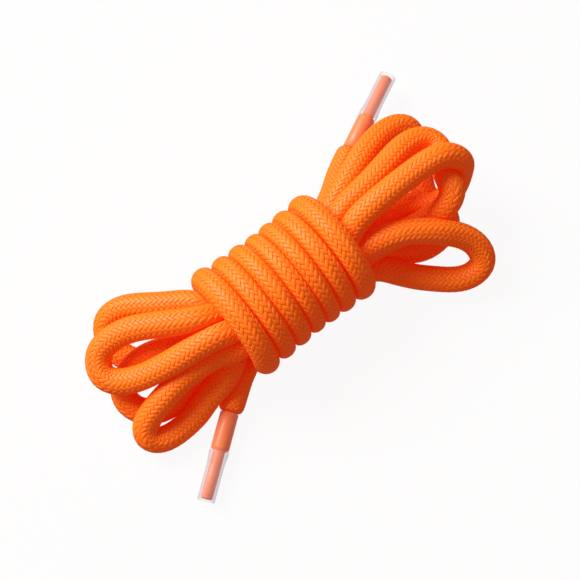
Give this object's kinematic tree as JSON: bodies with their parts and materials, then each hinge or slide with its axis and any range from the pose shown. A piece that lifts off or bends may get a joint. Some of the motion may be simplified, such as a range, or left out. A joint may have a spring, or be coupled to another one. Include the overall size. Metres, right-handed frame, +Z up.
{
  "type": "round braided bootlace hank",
  "caption": "Round braided bootlace folded into a hank, wrapped about its middle, with a clear aglet on each end.",
  "frame": {"origin": "centre of the hank's outline, at the level of the surface that its wraps lie on", "axes": "+X along the bundle's axis from the left bights to the right bights, +Z up, away from the surface"},
  "size_m": [0.0826, 0.0468, 0.0226],
  "materials": {
    "orange_braid": "round braid of shiny orange polyester yarns, two over two, with a soft herringbone relief",
    "squeezed_lace": "the same braid pressed smooth inside the film, paler through it",
    "aglet_film": "clear rolled film, glossy, with a square-cut open end"
  },
  "bodies": {
    "root": {"wrap_coil": "orange_braid", "strand_bundle": "orange_braid", "right_bight_1": "orange_braid", "right_bight_2": "orange_braid", "right_bight_3": "orange_braid", "right_bight_4": "orange_braid", "left_bight_1": "orange_braid", "left_bight_2": "orange_braid", "left_bight_3": "orange_braid", "left_bight_4": "orange_braid", "right_tail": "orange_braid", "left_tail": "orange_braid", "right_lace_tip": "squeezed_lace", "left_lace_tip": "squeezed_lace", "right_aglet": "aglet_film", "left_aglet": "aglet_film"}
  },
  "joints": []
}
